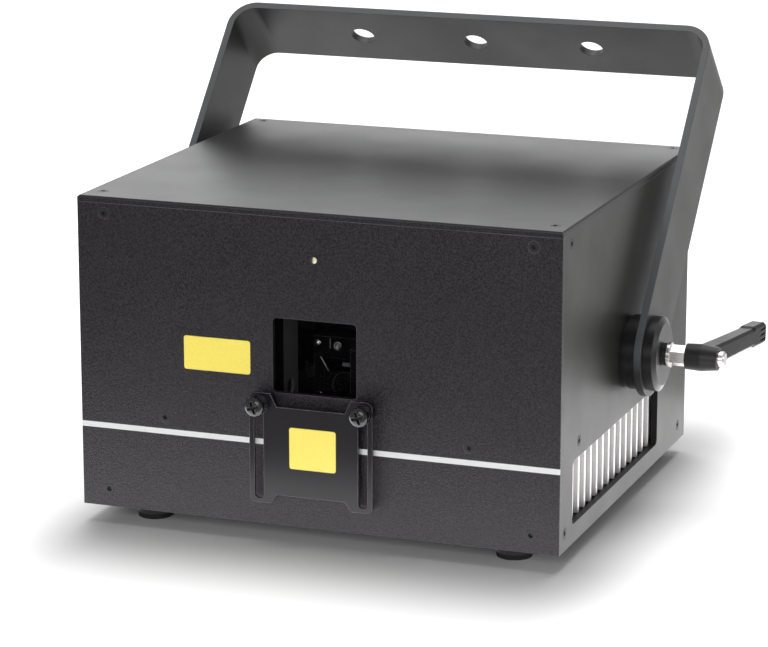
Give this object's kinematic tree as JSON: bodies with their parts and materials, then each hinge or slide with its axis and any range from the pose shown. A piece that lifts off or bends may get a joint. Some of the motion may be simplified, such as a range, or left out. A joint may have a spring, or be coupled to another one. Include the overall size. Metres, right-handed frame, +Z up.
{
  "type": "laser show projector",
  "caption": "Box-shaped laser show projector with a sliding aperture shutter, scanner window, finned vents, rubber feet and a tilting bracket with clamp levers.",
  "frame": {"origin": "centre of the bounding box on the plane of the rubber feet", "axes": "-Y out of the beam window, +Z up, +X to the right of someone who faces the front panel"},
  "size_m": [0.3412, 0.2582, 0.2201],
  "materials": {
    "powder_coat": "aluminium plate with a fine rough powder coat, charcoal",
    "satin_coat": "aluminium plate, smooth satin black",
    "coated_steel": "steel sheet, smooth satin black",
    "dark_steel": "blackened steel",
    "zinc_steel": "zinc plated",
    "nickel": "bright nickel plate",
    "gloss_black": "glossy black moulding",
    "matt_black": "matt black moulding",
    "rubber": "matt black rubber",
    "bare_aluminium": "bare milled or extruded",
    "dark_aluminium": "grey anodised",
    "mirror": "polished coating",
    "clear_glass": "clear pane",
    "lamp_lens": "diffuse lens",
    "board": "green solder mask"
  },
  "bodies": {
    "housing": {"front_panel": "powder_coat", "rear_panel": "powder_coat", "top_cover": "satin_coat", "left_side_panel": "satin_coat", "right_side_panel": "satin_coat", "base_plate": "coated_steel", "safety_eye": "coated_steel", "housing_screws": "dark_steel", "foot_screws": "dark_steel", "pivot_studs": "dark_steel", "pivot_backing_plates": "dark_steel", "shutter_screws": "zinc_steel", "key_lock": "nickel", "pivot_spacers": "gloss_black", "mains_inlet": "gloss_black", "rocker_frame": "gloss_black", "interlock_socket": "gloss_black", "interlock_plug": "gloss_black", "dmx_sockets": "gloss_black", "fan_frames": "matt_black", "shutter_spacers": "matt_black", "rubber_feet": "rubber", "heatsink": "bare_aluminium", "corner_posts": "bare_aluminium", "optics_plate": "bare_aluminium", "mirror_mounts": "bare_aluminium", "laser_modules": "bare_aluminium", "power_supply": "bare_aluminium", "scanner_shroud": "bare_aluminium", "data_sockets": "bare_aluminium", "galvo_block": "dark_aluminium", "galvo_motors": "dark_aluminium", "combining_mirrors": "mirror", "window_glass": "clear_glass", "display_window": "clear_glass", "emission_lamp": "lamp_lens", "driver_boards": "board", "control_board": "board"},
    "bracket": {"mounting_bracket": "coated_steel", "pivot_discs": "gloss_black", "pivot_washers": "nickel"},
    "left_insert": {"left_lever_insert": "nickel", "left_lever_screw": "nickel"},
    "left_lever": {"left_clamp_lever": "matt_black"},
    "right_insert": {"right_lever_insert": "nickel", "right_lever_screw": "nickel"},
    "right_lever": {"right_clamp_lever": "matt_black"},
    "shutter": {"aperture_shutter": "coated_steel"},
    "front_fan": {"front_fan_rotor": "matt_black"},
    "middle_fan": {"middle_fan_rotor": "matt_black"},
    "rear_fan": {"rear_fan_rotor": "matt_black"},
    "x_mirror": {"x_scan_mirror": "mirror"},
    "y_mirror": {"y_scan_mirror": "mirror"},
    "rocker": {"power_rocker": "gloss_black"},
    "key": {"switch_key": "nickel"},
    "button_1": {"menu_button_1": "gloss_black"},
    "button_2": {"menu_button_2": "gloss_black"},
    "button_3": {"menu_button_3": "gloss_black"},
    "button_4": {"menu_button_4": "gloss_black"}
  },
  "joints": [
    {"name": "bracket_tilt", "type": "hinge", "parent": "housing", "child": "bracket", "pos_m": [0, -0.00453, 0.0777], "axis": [1, 0, 0], "range_deg": [-62, 147]},
    {"name": "left_lever_turn", "type": "hinge", "parent": "housing", "child": "left_insert", "pos_m": [-0.1464, -0.00453, 0.0777], "axis": [-1, 0, 0], "range_deg": [0, 120]},
    {"name": "right_lever_turn", "type": "hinge", "parent": "housing", "child": "right_insert", "pos_m": [0.1464, -0.00453, 0.0777], "axis": [1, 0, 0], "range_deg": [0, 120]},
    {"name": "left_lever_lift", "type": "slide", "parent": "left_insert", "child": "left_lever", "axis": [-1, 0, 0], "range_m": [0, 0.0025], "stiffness_N_per_m": 1500},
    {"name": "right_lever_lift", "type": "slide", "parent": "right_insert", "child": "right_lever", "axis": [1, 0, 0], "range_m": [0, 0.0025], "stiffness_N_per_m": 1500},
    {"name": "shutter_slide", "type": "slide", "parent": "housing", "child": "shutter", "axis": [0, 0, 1], "range_m": [0, 0.0425]},
    {"name": "front_fan_spin", "type": "hinge", "parent": "housing", "child": "front_fan", "pos_m": [-0.108, -0.06818, 0.0307], "axis": [-1, 0, 0], "continuous": true},
    {"name": "middle_fan_spin", "type": "hinge", "parent": "housing", "child": "middle_fan", "pos_m": [-0.108, -0.02518, 0.0307], "axis": [-1, 0, 0], "continuous": true},
    {"name": "rear_fan_spin", "type": "hinge", "parent": "housing", "child": "rear_fan", "pos_m": [-0.108, 0.01782, 0.0307], "axis": [-1, 0, 0], "continuous": true},
    {"name": "x_scan", "type": "hinge", "parent": "housing", "child": "x_mirror", "pos_m": [0.0015, -0.09033, 0.0687], "axis": [0, 1, 0], "range_deg": [-15, 15]},
    {"name": "y_scan", "type": "hinge", "parent": "housing", "child": "y_mirror", "pos_m": [0.0015, -0.09033, 0.0817], "axis": [1, 0, 0], "range_deg": [-15, 15]},
    {"name": "rocker_tip", "type": "hinge", "parent": "housing", "child": "rocker", "pos_m": [0.0335, 0.09867, 0.0407], "axis": [1, 0, 0], "range_deg": [-20, 0]},
    {"name": "key_turn", "type": "hinge", "parent": "housing", "child": "key", "pos_m": [0.0625, 0.09867, 0.1267], "axis": [0, 1, 0], "range_deg": [0, 90]},
    {"name": "button_1_press", "type": "slide", "parent": "housing", "child": "button_1", "axis": [0, -1, 0], "range_m": [0, 0.0009], "stiffness_N_per_m": 500},
    {"name": "button_2_press", "type": "slide", "parent": "housing", "child": "button_2", "axis": [0, -1, 0], "range_m": [0, 0.0009], "stiffness_N_per_m": 500},
    {"name": "button_3_press", "type": "slide", "parent": "housing", "child": "button_3", "axis": [0, -1, 0], "range_m": [0, 0.0009], "stiffness_N_per_m": 500},
    {"name": "button_4_press", "type": "slide", "parent": "housing", "child": "button_4", "axis": [0, -1, 0], "range_m": [0, 0.0009], "stiffness_N_per_m": 500}
  ]
}
